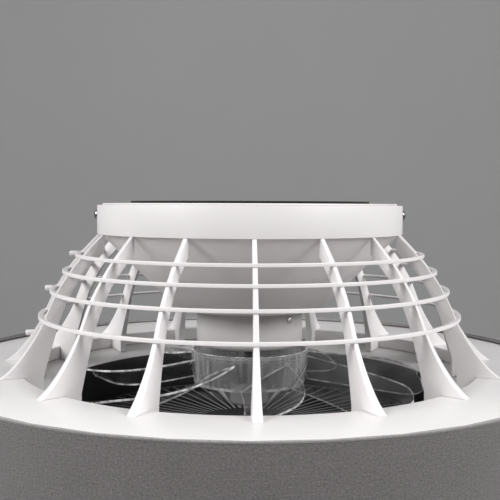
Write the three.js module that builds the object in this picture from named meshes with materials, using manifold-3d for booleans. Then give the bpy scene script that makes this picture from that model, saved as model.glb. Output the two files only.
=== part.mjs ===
// Caged ceiling fan with a drum shade. Millimetres, +Z up.
// The origin is the centre of the face that lies against the ceiling, so the whole fan is below it.
// An azimuth of 0 points towards -Y, and it grows towards +X.
import * as THREE from 'three';
import { mergeVertices } from 'three/addons/utils/BufferGeometryUtils.js';
import Module from 'manifold-3d';

const wasm = await Module();
wasm.setup();

// ---- driving dimensions ------------------------------------------------------------------------

const seat = 0.3;               // gap left where one piece rests on or in another
const cageSegments = 48;        // three facets in each bay between ribs
const shadeSegments = 36;
const boardSegments = 24;
const motorSegments = 36;
const smallSegments = 16;
const studSegments = 10;        // of pegs, side screws and small bores

// ceiling fixing
const gasketThickness = 1.5;
const gasketOuterRadius = 97;
const gasketWidth = 12;
const ceilingPlateThickness = 1.4;
const ceilingPlateRadius = 116;
const ceilingPlateChamfer = 0.7;
const screwSlotSpacing = 120;   // between the two ceiling screws
const screwSlotLength = 14;
const screwSlotWidth = 5.5;
const cableHoleRadius = 13;
const cableHoleOffset = 45;     // towards the back
const tabWidth = 26;
const tabDepth = 19;
const tabThickness = 1.6;

// cage
const collarRadius = 123.6;
const collarHeight = 23;
const collarWall = 2.2;
const ribCount = 16;
const ribFirstAzimuth = 1.5;
const ribThicknessTop = 3.1;
const ribThicknessWaist = 3.5;  // beside the lowest hoop, where the foot's flare starts
const ribThicknessFoot = 6.6;
const ribFlarePower = 1.5;
const ribDepth = 11.8;          // radial depth of a rib beside the hoops
const ribShoulderDrop = 12.5;   // straight stretch of the inner edge under the collar
const ringRadii = [141.0, 151.0, 160.7, 169.6];
const ringDrops = [39.4, 52.1, 67.2, 86.7];   // of the hoops, below the collar's top edge
const ringHeight = 2.8;
const ringDepth = 4.4;
const ringTaper = 0.7;          // height of a hoop's inner edge as a share of its front's
const ringProud = 1.8;          // how far a hoop stands out of the ribs
const footReach = 18.3;         // of the foot's point beyond the opening's edge
const footKneeDrop = 100.5;
const footKneeReach = 4.5;      // how far the knee stands out of the lowest hoop
const footToeDrop = 122.5;
const footToeReach = 6.3;
const legDepth = 13.5;          // radial depth of a rib's leg inside the opening
const pegRadius = 2.3;
const pegLength = 5.2;
const pegChamfer = 1.4;
const pegNeckRadius = 1.3;      // thinner than half a hoop's height
const pegRoot = 2.5;            // part of a peg that is buried in what carries it
const pegStandoff = 0.5;        // the thick part of a peg starts this far out of a hoop
const peggedRib = 12;           // the rib at the left of the cage
const peggedRings = [1, 3];
const lowPegDrop = 104;

// cone and side screws
const screwDrop = 8.0;          // of the side screws, below the collar's top edge
const screwShankRadius = 2.0;
const screwHeadRadius = 4.0;
const screwHeadHeight = 3.0;
const screwHoleClearance = 0.3;
const coneWall = 1.2;
const coneRimDrop = 12.0;       // top of the cone's straight rim, below the collar's top edge
const coneShoulderDrop = 27.5;
const coneBottomDrop = 83.5;
const coneBottomRadius = 60;
const coneWireHoleRadius = 9;
const boxCorner = 3;
const boxOffset = 26;           // of each electrics box from the middle, front and back
const receiverSize = [80, 27, 22];
const driverSize = [76, 27, 24];
const terminalSize = [30, 17, 14];
const terminalOffset = 20;      // towards the front
const terminalWays = 3;
const terminalBoreRadius = 2.4;

// motor
const cupRadius = 43.5;
const cupHeight = 29;
const cupWall = 1.5;
const cupCorner = 5;
const cupHoleRadius = 6.5;
const shaftRadius = 4;
const bearingRadius = 11;
const bearingWidth = 7;
const bearingDrop = 2.5;        // of the upper bearing below the cup's top edge
const bossWall = 2.5;
const bossFlangeRadius = 30;
const bossFlangeThickness = 2;
const bossShoulder = 3;
const bossShoulderReach = 2;
const statorRadius = 32.2;
const statorHeight = 10;
const statorTeeth = 9;
const toothWidth = 6;
const toothTipDepth = 2.4;
const toothTipGap = 3.2;
const statorYoke = 4.5;
const windingThickness = 2.4;
const windingMargin = 1.5;      // from the ends of a slot's bar to the crowns' edges
const airGap = 0.8;
const magnetThickness = 2.7;
const magnetHeight = 12;
const bellWall = 1.5;
const bellBottomClearance = 2.1;
const bellCorner = 2;
const shaftChamfer = 0.6;
const shaftTopDrop = 1;

// rotor
const hubGap = 8.0;             // between the cup and the clear hub
const hubRadius = 48.4;
const hubHeight = 25;
const hubWall = 2.2;
const hubEdge = 2;
const hubSleeveRadius = 9;
const hubRibCount = 8;
const hubRibThickness = 2;
const hubRibRecess = 1;         // of a rib's lower edge inside the hub
const bladeCount = 7;
const bladeFirstAzimuth = 15.6;
const bladeTipClearance = 7;    // between the blades' tips and the throat
const bladeThickness = 1.8;
const bladeRootChord = 43;
const bladeTipChord = 59;
const bladeRootPitch = 27.7;    // degrees
const bladeTipPitch = 21.5;
const bladeCamber = 0.05;       // of the chord
const bladeSweep = -19;         // degrees by which the tip runs ahead of the root
const bladeDrop = 14.5;         // of the blade's middle at its root, below the hub's top
const bladeTipSink = 13.5;      // of the blade's middle from its root to its tip
const bladeEdgeTaper = 0.7;     // share of the thickness lost at the two long edges
const bladeTipShare = 0.45;     // chord left at the very tip, where the outline is rounded
const bladeRoundShare = 0.2;    // part of the span over which the tip is rounded
const nutRadius = 16;
const nutHeight = 17.7;
const nutEdge = 2.5;
const nutThreadDepth = 10;

// drum
const plateDrop = 128.1;        // top plate, below the collar's top edge
const plateThickness = 2.4;
const openingRadius = 182.7;
const openingWallHeight = 11;
const funnelDrop = 7;
const funnelWidth = 28.7;       // of the ledge between the opening and the throat
const throatWall = 1.6;
const shadeRadius = 250;
const shadeHeight = 64;
const shadeThickness = 1;
const shadeLip = 3.3;           // fabric above the top plate
const hoopSection = 2.6;

// light ring and lower grille
const trayThickness = 1.2;
const trayDepth = 13;
const boardWidth = 52;
const boardThickness = 1.6;
const diffuserThickness = 2;
const diffuserCrown = 2.5;
const trimWidth = 4.5;
const trimHeight = 4;
const trimChamfer = 1.4;
const grilleHeight = 8;
const grilleRecess = 1.4;       // of the grille above the drum's lower edge
const grilleHubRadius = 46;
const grilleRimWidth = 3;
const grilleSlatCount = 36;
const grilleSlatThickness = 1.6;

// ---- heights that follow ------------------------------------------------------------------------

const plateTopZ = -gasketThickness - seat;
const collarTopZ = plateTopZ - ceilingPlateThickness;
const collarBottomZ = collarTopZ - collarHeight;
const coneBottomZ = collarTopZ - coneBottomDrop;
const cupTopZ = coneBottomZ - seat;
const cupBottomZ = cupTopZ - cupHeight;
const hubTopZ = cupBottomZ - hubGap;
const hubBottomZ = hubTopZ - hubHeight;
const nutTopZ = hubBottomZ - seat;
const nutBottomZ = nutTopZ - nutHeight;
const topPlateZ = collarTopZ - plateDrop;
const wallBottomZ = topPlateZ - openingWallHeight;
const funnelBottomZ = wallBottomZ - funnelDrop;
const shadeTopZ = topPlateZ + shadeLip;
const shadeBottomZ = shadeTopZ - shadeHeight;
const collarInnerRadius = collarRadius - collarWall;
const coneRimRadius = collarInnerRadius - seat;
const coneRimFlat = (coneRimRadius - coneWall) * Math.cos(Math.PI / cageSegments);
const tabRadius = Math.sqrt((coneRimFlat - seat) ** 2 - (tabWidth / 2) ** 2);
const shaftBoreRadius = shaftRadius + seat;
const screwZ = collarTopZ - screwDrop;
const openingFlat = openingRadius * Math.cos(Math.PI / shadeSegments);
const legOuterRadius = openingFlat - seat;
const legInnerRadius = legOuterRadius - legDepth;
const throatRadius = openingRadius - funnelWidth;
const bladeTipRadius = throatRadius - bladeTipClearance;

// ---- helpers -------------------------------------------------------------------------------------

function toSolid(geometry) {
  const bare = geometry.index ? geometry.toNonIndexed() : geometry.clone();
  for (const name of Object.keys(bare.attributes)) {
    if (name !== 'position') bare.deleteAttribute(name);
  }
  const merged = mergeVertices(bare, 1e-4);
  const triangles = [];
  const index = merged.index.array;
  for (let i = 0; i < index.length; i += 3) {
    const [a, b, c] = [index[i], index[i + 1], index[i + 2]];
    if (a !== b && b !== c && c !== a) triangles.push(a, b, c);
  }
  merged.setIndex(triangles);
  if (signedVolume(merged) < 0) {
    for (let i = 0; i < triangles.length; i += 3) {
      [triangles[i], triangles[i + 1]] = [triangles[i + 1], triangles[i]];
    }
    merged.setIndex(triangles);
  }
  return merged;
}

function signedVolume(geometry) {
  const corner = geometry.attributes.position;
  const index = geometry.index.array;
  const [a, b, c] = [new THREE.Vector3(), new THREE.Vector3(), new THREE.Vector3()];
  let volume = 0;
  for (let i = 0; i < index.length; i += 3) {
    a.fromBufferAttribute(corner, index[i]);
    b.fromBufferAttribute(corner, index[i + 1]);
    c.fromBufferAttribute(corner, index[i + 2]);
    volume += a.dot(b.cross(c)) / 6;
  }
  return volume;
}

function toManifold(geometry) {
  const solid = toSolid(geometry);
  return new wasm.Manifold(new wasm.Mesh({
    numProp: 3,
    vertProperties: new Float32Array(solid.attributes.position.array),
    triVerts: new Uint32Array(solid.index.array),
  }));
}

function fromManifold(manifold) {
  const mesh = manifold.getMesh();
  const geometry = new THREE.BufferGeometry();
  geometry.setAttribute('position', new THREE.BufferAttribute(new Float32Array(mesh.vertProperties), 3));
  geometry.setIndex(Array.from(mesh.triVerts));
  return geometry;
}

function cut(geometry, tools) {
  return fromManifold(tools.reduce((body, tool) => body.subtract(toManifold(tool)), toManifold(geometry)));
}

function join(geometries) {
  return fromManifold(geometries.map(toManifold).reduce((body, next) => body.add(next)));
}

// A closed profile of [radius, height] pairs turned about Z. Its first facet edge is at firstAzimuth.
function turned(profile, segments, firstAzimuth = 0) {
  const onAxis = profile[0][0] === 0 && profile[profile.length - 1][0] === 0;
  const outline = profile.map(([radius, height]) => new THREE.Vector2(radius, height));
  if (!onAxis) outline.push(outline[0].clone());
  const phase = THREE.MathUtils.degToRad(firstAzimuth);
  return toSolid(new THREE.LatheGeometry(outline, segments, phase, 2 * Math.PI).rotateX(Math.PI / 2));
}

function ring(innerRadius, outerRadius, bottomZ, topZ, segments, firstAzimuth = 0) {
  return turned([
    [innerRadius, bottomZ], [outerRadius, bottomZ], [outerRadius, topZ], [innerRadius, topZ],
  ], segments, firstAzimuth);
}

function block(sizeX, sizeY, sizeZ, x, y, z) {
  return new THREE.BoxGeometry(sizeX, sizeY, sizeZ).translate(x, y, z);
}

// A rod along Z, or along X when turned.
function rod(radius, length, segments = smallSegments) {
  return new THREE.CylinderGeometry(radius, radius, length, segments).rotateX(Math.PI / 2);
}

function sideRod(radius, length, x, z) {
  return rod(radius, length, studSegments).rotateY(Math.PI / 2).translate(x, 0, z);
}

// A quarter arc of [radius, height] pairs, from one angle to another in degrees.
function arc(centreRadius, centreZ, radius, fromAngle, toAngle, steps) {
  return Array.from({ length: steps + 1 }, (unused, step) => {
    const angle = THREE.MathUtils.degToRad(fromAngle + (toAngle - fromAngle) * step / steps);
    return [centreRadius + radius * Math.cos(angle), centreZ + radius * Math.sin(angle)];
  });
}

const finishes = {
  white: { color: 0xeceaea, roughness: 0.45, metalness: 0 },
  whiteMetal: { color: 0xe6e4e3, roughness: 0.5, metalness: 0.1 },
  blackFoam: { color: 0x151515, roughness: 0.95, metalness: 0 },
  blackPlastic: { color: 0x141416, roughness: 0.5, metalness: 0 },
  chrome: { color: 0xc9c9c9, roughness: 0.15, metalness: 1 },
  steel: { color: 0x9a9a9c, roughness: 0.35, metalness: 0.9 },
  copper: { color: 0xb06a3c, roughness: 0.4, metalness: 0.8 },
  magnet: { color: 0x3a3a3e, roughness: 0.5, metalness: 0.6 },
  clear: { color: 0xdfe4e6, roughness: 0.08, metalness: 0, transparent: true, opacity: 0.35 },
  fabric: { color: 0x6e6e70, roughness: 0.95, metalness: 0 },
  greyPlastic: { color: 0x8e8f92, roughness: 0.35, metalness: 0 },
  opal: { color: 0xf4f3ef, roughness: 0.35, metalness: 0 },
  board: { color: 0xf1f1ec, roughness: 0.6, metalness: 0 },
};

const fan = new THREE.Group();
const housing = new THREE.Group();
const rotor = new THREE.Group();
fan.add(housing, rotor);

function addPiece(parent, name, geometry, finish) {
  const piece = new THREE.Mesh(geometry, new THREE.MeshStandardMaterial(finishes[finish]));
  piece.name = name;
  parent.add(piece);
  return piece;
}

// ---- ceiling fixing ------------------------------------------------------------------------------

function ceilingGasket() {
  return ring(gasketOuterRadius - gasketWidth, gasketOuterRadius, -gasketThickness, 0, motorSegments);
}

function slotTool(x) {
  const straight = screwSlotLength - screwSlotWidth;
  const outline = new THREE.Shape();
  outline.absarc(0, straight / 2, screwSlotWidth / 2, 0, Math.PI);
  outline.absarc(0, -straight / 2, screwSlotWidth / 2, Math.PI, 2 * Math.PI);
  const depth = 4 * ceilingPlateThickness;
  const tool = new THREE.ExtrudeGeometry(outline, { depth, bevelEnabled: false, curveSegments: 3 });
  return tool.translate(x, 0, plateTopZ - depth / 2);
}

function ceilingPlate() {
  const disc = turned([
    [0, plateTopZ], [ceilingPlateRadius - ceilingPlateChamfer, plateTopZ],
    [ceilingPlateRadius, plateTopZ - ceilingPlateChamfer], [ceilingPlateRadius, collarTopZ],
    [0, collarTopZ],
  ], motorSegments);
  const pieces = [disc];
  for (const side of [-1, 1]) {
    const reach = tabRadius - ceilingPlateRadius * 0.9;
    pieces.push(block(reach, tabWidth, ceilingPlateThickness,
      side * (tabRadius - reach / 2), 0, plateTopZ - ceilingPlateThickness / 2));
    pieces.push(block(tabThickness, tabWidth, tabDepth,
      side * (tabRadius - tabThickness / 2), 0, plateTopZ - tabDepth / 2));
  }
  const tools = [-1, 1].map((side) => slotTool(side * screwSlotSpacing / 2));
  tools.push(rod(cableHoleRadius, 4 * ceilingPlateThickness).translate(0, cableHoleOffset, plateTopZ));
  for (const side of [-1, 1]) tools.push(sideHole(side));
  return cut(join(pieces), tools);
}

// The hole that a side screw passes, long enough for every wall on its way.
function sideHole(side) {
  const length = 3 * (collarRadius - tabRadius);
  return sideRod(screwShankRadius + screwHoleClearance, length, side * tabRadius, screwZ);
}

function sideScrew(side) {
  const headStart = collarRadius + seat;
  const tip = tabRadius - tabThickness - 1;
  const dome = arc(0, 0, 1, 0, 90, 3).map(([along, up]) => [along * screwHeadRadius, up * screwHeadHeight]);
  const profile = [
    [0, tip - headStart], [screwShankRadius, tip - headStart], [screwShankRadius, 0], ...dome,
  ];
  profile[profile.length - 1][0] = 0;
  return turned(profile, studSegments).rotateY(side * Math.PI / 2).translate(side * headStart, 0, screwZ);
}

addPiece(housing, 'ceiling_gasket', ceilingGasket(), 'blackFoam');
addPiece(housing, 'ceiling_plate', ceilingPlate(), 'whiteMetal');
addPiece(housing, 'cage_screw_left', sideScrew(-1), 'chrome');
addPiece(housing, 'cage_screw_right', sideScrew(1), 'chrome');

// ---- cage ------------------------------------------------------------------------------------------

function collar() {
  const heights = [collarBottomZ, collarTopZ];
  const band = ring(collarInnerRadius, collarRadius, ...heights, cageSegments, ribFirstAzimuth);
  return cut(band, [sideHole(-1), sideHole(1)]);
}

function ribAzimuth(number) {
  return ribFirstAzimuth + number * 360 / ribCount;
}

// A peg that stands out of a hoop or a rib, pointing along +X.
function peg(radius, drop) {
  const profile = [
    [0, -pegRoot], [pegNeckRadius, -pegRoot], [pegNeckRadius, pegStandoff], [pegRadius, pegStandoff],
    [pegRadius, pegLength - pegChamfer], [pegRadius - pegChamfer, pegLength], [0, pegLength],
  ];
  return turned(profile, studSegments).rotateY(Math.PI / 2).translate(radius, 0, collarTopZ - drop);
}

function cageRing(radius, drop, pegged) {
  const middleZ = collarTopZ - drop;
  const half = ringHeight / 2;
  const hoop = turned([
    [radius - ringDepth, middleZ - half * ringTaper], [radius, middleZ - half],
    [radius, middleZ + half], [radius - ringDepth, middleZ + half * ringTaper],
  ], cageSegments, ribFirstAzimuth);
  if (!pegged) return hoop;
  const turn = THREE.MathUtils.degToRad(ribAzimuth(peggedRib) - 90);
  return join([hoop, peg(radius, drop).rotateZ(turn)]);
}

// The outer edge of a rib: a smooth line from the collar past the hoops, then a flared foot.
const ribUpperEdge = new THREE.SplineCurve([
  new THREE.Vector2(collarRadius, collarHeight),
  ...ringRadii.map((radius, k) => new THREE.Vector2(radius - ringProud, ringDrops[k])),
]);
const lastRing = ringRadii.length - 1;
const ribFootEdge = new THREE.CubicBezierCurve(
  new THREE.Vector2(ringRadii[lastRing] - ringProud, ringDrops[lastRing]),
  new THREE.Vector2(ringRadii[lastRing] + footKneeReach, footKneeDrop),
  new THREE.Vector2(openingRadius + footToeReach, footToeDrop),
  new THREE.Vector2(openingRadius + footReach, plateDrop - seat),
);
const edgePoints = [...ribUpperEdge.getPoints(48), ...ribFootEdge.getPoints(24).slice(1)];

// Radius of the rib's outer edge at a drop below the collar's top edge.
function edgeRadius(drop) {
  const next = Math.max(1, edgePoints.findIndex((point) => point.y >= drop));
  const [before, after] = [edgePoints[next - 1], edgePoints[next]];
  return THREE.MathUtils.mapLinear(drop, before.y, after.y, before.x, after.x);
}

function ribOutline() {
  const outline = [[collarInnerRadius, collarHeight + seat], [collarRadius, collarHeight + seat]];
  const notchHalf = ringHeight / 2 + seat;
  const notchFloor = ringDepth + seat;
  ringRadii.forEach((radius, k) => {
    outline.push([edgeRadius(ringDrops[k] - notchHalf), ringDrops[k] - notchHalf]);
    outline.push([radius - notchFloor, ringDrops[k] - notchHalf]);
    outline.push([radius - notchFloor, ringDrops[k] + notchHalf]);
    outline.push([edgeRadius(ringDrops[k] + notchHalf), ringDrops[k] + notchHalf]);
  });
  for (const point of ribFootEdge.getPoints(5).slice(1)) outline.push([point.x, point.y]);
  const funnelSlope = funnelDrop / (openingRadius - throatRadius - throatWall);
  const wallDrop = plateDrop + openingWallHeight - 2 * seat;
  const funnelAt = (radius) => wallDrop + (openingRadius - radius) * funnelSlope;
  outline.push([legOuterRadius, plateDrop - seat]);
  outline.push([legOuterRadius, funnelAt(legOuterRadius)]);
  outline.push([legInnerRadius, funnelAt(legInnerRadius)]);
  outline.push([legInnerRadius, plateDrop]);
  const shoulder = collarHeight + ribShoulderDrop;
  const inner = new THREE.SplineCurve([
    new THREE.Vector2(legInnerRadius, plateDrop),
    ...ringRadii.map((radius, k) => new THREE.Vector2(radius - ringProud - ribDepth, ringDrops[k]))
      .filter((point, k) => k > 0).reverse(),
    new THREE.Vector2(collarInnerRadius, shoulder),
  ]);
  for (const point of inner.getPoints(6).slice(1)) outline.push([point.x, point.y]);
  return outline;
}

// A rib is slim beside the hoops, and its sides flare out where it comes down to the plate.
function ribThickness(drop) {
  const waistDrop = ringDrops[lastRing];
  const slim = Math.min(1, drop / waistDrop);
  const flare = THREE.MathUtils.clamp((drop - waistDrop) / (plateDrop - waistDrop), 0, 1);
  return ribThicknessTop + (ribThicknessWaist - ribThicknessTop) * slim
    + (ribThicknessFoot - ribThicknessWaist) * flare ** ribFlarePower;
}

function cageRib(number) {
  const outline = ribOutline().map(([radius, drop]) => new THREE.Vector2(radius, collarTopZ - drop));
  const rib = new THREE.ExtrudeGeometry(new THREE.Shape(outline), { depth: 1, bevelEnabled: false });
  rib.translate(0, 0, -0.5);
  const corner = rib.attributes.position;
  for (let i = 0; i < corner.count; i += 1) {
    corner.setZ(i, corner.getZ(i) * ribThickness(collarTopZ - corner.getY(i)));
  }
  rib.rotateX(Math.PI / 2);
  return number === peggedRib ? join([rib, peg(edgeRadius(lowPegDrop), lowPegDrop)]) : rib;
}

addPiece(housing, 'collar', collar(), 'white');
ringRadii.forEach((radius, k) => {
  const pegged = peggedRings.includes(k + 1);
  addPiece(housing, `cage_ring_${k + 1}`, cageRing(radius, ringDrops[k], pegged), 'white');
});
for (let k = 0; k < ribCount; k += 1) {
  const piece = addPiece(housing, `cage_rib_${String(k + 1).padStart(2, '0')}`, cageRib(k), 'white');
  piece.rotation.z = THREE.MathUtils.degToRad(ribAzimuth(k) - 90);
}

// ---- cone and what it houses -----------------------------------------------------------------------

function canopy() {
  const rimTop = collarTopZ - coneRimDrop;
  const shoulder = collarTopZ - coneShoulderDrop;
  const wallShift = coneWall * 0.4;   // keeps the sloping wall about as thick as the rim
  return turned([
    [coneRimRadius, rimTop], [coneRimRadius, shoulder], [coneBottomRadius, coneBottomZ],
    [coneWireHoleRadius, coneBottomZ], [coneWireHoleRadius, coneBottomZ + coneWall],
    [coneBottomRadius - wallShift, coneBottomZ + coneWall],
    [coneRimRadius - coneWall, shoulder + wallShift], [coneRimRadius - coneWall, rimTop],
  ], cageSegments, ribFirstAzimuth);
}

// A box with rounded upright edges that stands on the cone's floor.
function electricsBox([sizeX, sizeY, sizeZ], y) {
  const [x, halfY] = [sizeX / 2 - boxCorner, sizeY / 2 - boxCorner];
  const outline = new THREE.Shape();
  outline.absarc(x, -halfY, boxCorner, -Math.PI / 2, 0);
  outline.absarc(x, halfY, boxCorner, 0, Math.PI / 2);
  outline.absarc(-x, halfY, boxCorner, Math.PI / 2, Math.PI);
  outline.absarc(-x, -halfY, boxCorner, Math.PI, 1.5 * Math.PI);
  const body = new THREE.ExtrudeGeometry(outline, { depth: sizeZ, bevelEnabled: false, curveSegments: 3 });
  return toSolid(body).translate(0, y, coneBottomZ + coneWall + seat);
}

function terminalBlock() {
  const [length, width, height] = terminalSize;
  const middleZ = collarTopZ - seat - height / 2;
  const frontY = -terminalOffset - width / 2;
  const tools = [];
  for (let way = 0; way < terminalWays; way += 1) {
    const x = (way - (terminalWays - 1) / 2) * length / terminalWays;
    const bore = rod(terminalBoreRadius, width / 2, studSegments).rotateX(Math.PI / 2);
    tools.push(bore.translate(x, frontY, middleZ));
  }
  return cut(block(length, width, height, 0, -terminalOffset, middleZ), tools);
}

addPiece(housing, 'canopy', canopy(), 'whiteMetal');
addPiece(housing, 'fan_receiver', electricsBox(receiverSize, -boxOffset), 'white');
addPiece(housing, 'led_driver', electricsBox(driverSize, boxOffset), 'white');
addPiece(housing, 'terminal_block', terminalBlock(), 'board');

// ---- motor ---------------------------------------------------------------------------------------

function motorCup() {
  const inner = cupRadius - cupWall;
  return turned([
    [cupRadius, cupTopZ],
    ...arc(cupRadius - cupCorner, cupBottomZ + cupCorner, cupCorner, 0, -90, 3),
    [cupHoleRadius, cupBottomZ], [cupHoleRadius, cupBottomZ + cupWall],
    ...arc(inner - cupCorner + cupWall, cupBottomZ + cupCorner, cupCorner - cupWall, -90, 0, 1),
    [inner, cupTopZ],
  ], motorSegments);
}

const boreRadius = bearingRadius + seat;
const bossRadius = boreRadius + bossWall;
const upperBearingTopZ = cupTopZ - bearingDrop;
const shoulderTopZ = upperBearingTopZ - bearingWidth - seat;
const lowerBearingTopZ = shoulderTopZ - bossShoulder - seat;
const bossBottomZ = lowerBearingTopZ - bearingWidth - seat;
const statorTopZ = cupTopZ - bossFlangeThickness - windingThickness - 3 * seat;
const statorBottomZ = statorTopZ - statorHeight;

function motorBoss() {
  const flangeZ = cupTopZ - bossFlangeThickness;
  const shoulderRadius = boreRadius - bossShoulderReach;
  return turned([
    [boreRadius, cupTopZ], [boreRadius, shoulderTopZ], [shoulderRadius, shoulderTopZ],
    [shoulderRadius, shoulderTopZ - bossShoulder], [boreRadius, shoulderTopZ - bossShoulder],
    [boreRadius, bossBottomZ], [bossRadius, bossBottomZ], [bossRadius, flangeZ],
    [bossFlangeRadius, flangeZ], [bossFlangeRadius, cupTopZ],
  ], smallSegments);
}

function bearing(topZ) {
  return ring(shaftBoreRadius, bearingRadius, topZ - bearingWidth, topZ, smallSegments);
}

// A toothed ring: each tooth has a narrow neck and a wide tip on the outside.
function statorCore() {
  const outline = new THREE.Shape();
  const rootRadius = bossRadius + seat + statorYoke;
  const tipRadius = statorRadius - toothTipDepth;
  const pitch = 2 * Math.PI / statorTeeth;
  const neckRoot = Math.asin(toothWidth / 2 / rootRadius);
  const neckTip = Math.asin(toothWidth / 2 / tipRadius);
  const tipHalf = pitch / 2 - toothTipGap / 2 / statorRadius;
  const corners = [
    [rootRadius, -neckRoot], [tipRadius, -neckTip], [tipRadius, -tipHalf], [statorRadius, -tipHalf],
    [statorRadius, 0],
    [statorRadius, tipHalf], [tipRadius, tipHalf], [tipRadius, neckTip], [rootRadius, neckRoot],
  ];
  const points = [];
  for (let tooth = 0; tooth < statorTeeth; tooth += 1) {
    for (const [radius, angle] of corners) {
      const at = tooth * pitch + angle;
      points.push(new THREE.Vector2(radius * Math.cos(at), radius * Math.sin(at)));
    }
  }
  outline.setFromPoints(points);
  const bore = new THREE.Path().absarc(0, 0, bossRadius + seat, 0, 2 * Math.PI, true);
  outline.holes.push(bore);
  const settings = { depth: statorHeight, bevelEnabled: false, curveSegments: 12 };
  return toSolid(new THREE.ExtrudeGeometry(outline, settings)).translate(0, 0, statorBottomZ);
}

// Coils: a crown above and one below the core, linked through the slots.
function statorWindings() {
  const innerRadius = bossRadius + seat + statorYoke + seat;
  const outerRadius = statorRadius - toothTipDepth - seat;
  const crown = (fromZ) => ring(innerRadius, outerRadius, fromZ, fromZ + windingThickness, smallSegments);
  const pieces = [crown(statorTopZ + seat), crown(statorBottomZ - seat - windingThickness)];
  const barHeight = statorHeight + 2 * seat + windingThickness;
  const barLength = outerRadius - innerRadius - 2 * windingMargin;
  const barX = innerRadius + windingMargin + barLength / 2;
  for (let slot = 0; slot < statorTeeth; slot += 1) {
    const bar = block(barLength, windingThickness, barHeight, barX, 0, statorTopZ - statorHeight / 2);
    pieces.push(bar.rotateZ((slot + 0.5) * 2 * Math.PI / statorTeeth));
  }
  return join(pieces);
}

const magnetInnerRadius = statorRadius + airGap;
const magnetOuterRadius = magnetInnerRadius + magnetThickness;
const magnetTopZ = statorTopZ - statorHeight / 2 + magnetHeight / 2;
const bellInnerRadius = magnetOuterRadius + seat;
const bellBottomZ = cupBottomZ + cupWall + bellBottomClearance;

function magnetRing() {
  const bottomZ = magnetTopZ - magnetHeight;
  return ring(magnetInnerRadius, magnetOuterRadius, bottomZ, magnetTopZ, smallSegments);
}

function rotorBell() {
  const outer = bellInnerRadius + bellWall;
  return turned([
    [shaftBoreRadius, bellBottomZ], [outer - bellCorner, bellBottomZ], [outer, bellBottomZ + bellCorner],
    [outer, magnetTopZ], [bellInnerRadius, magnetTopZ], [bellInnerRadius, bellBottomZ + bellWall],
    [shaftBoreRadius, bellBottomZ + bellWall],
  ], smallSegments);
}

function shaft() {
  const topZ = cupTopZ - shaftTopDrop;
  const endZ = nutTopZ - nutThreadDepth + seat;
  const endRadius = shaftRadius - shaftChamfer;
  return turned([
    [0, endZ], [endRadius, endZ], [shaftRadius, endZ + shaftChamfer],
    [shaftRadius, topZ - shaftChamfer], [endRadius, topZ], [0, topZ],
  ], smallSegments);
}

addPiece(housing, 'motor_cup', motorCup(), 'whiteMetal');
addPiece(housing, 'motor_boss', motorBoss(), 'steel');
addPiece(housing, 'upper_bearing', bearing(upperBearingTopZ), 'steel');
addPiece(housing, 'lower_bearing', bearing(lowerBearingTopZ), 'steel');
addPiece(housing, 'stator_core', statorCore(), 'steel');
addPiece(housing, 'stator_windings', statorWindings(), 'copper');
addPiece(rotor, 'magnet_ring', magnetRing(), 'magnet');
addPiece(rotor, 'rotor_bell', rotorBell(), 'steel');
addPiece(rotor, 'shaft', shaft(), 'steel');

// ---- clear rotor ---------------------------------------------------------------------------------

function bladeHub() {
  const shell = turned([
    [shaftBoreRadius, hubBottomZ], [hubSleeveRadius, hubBottomZ], [hubSleeveRadius, hubTopZ - hubWall],
    [hubRadius - hubWall, hubTopZ - hubWall], [hubRadius - hubWall, hubBottomZ], [hubRadius, hubBottomZ],
    [hubRadius, hubTopZ - hubEdge], [hubRadius - hubEdge, hubTopZ], [shaftBoreRadius, hubTopZ],
  ], motorSegments);
  const pieces = [shell];
  const length = hubRadius - hubSleeveRadius;
  const middleX = hubSleeveRadius - hubWall / 2 + length / 2;
  const height = hubHeight - hubWall / 2 - hubRibRecess;
  for (let k = 0; k < hubRibCount; k += 1) {
    const rib = block(length, hubRibThickness, height, middleX, 0, hubBottomZ + hubRibRecess + height / 2);
    pieces.push(rib.rotateZ((k + 0.5) * 2 * Math.PI / hubRibCount));
  }
  return join(pieces);
}

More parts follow.
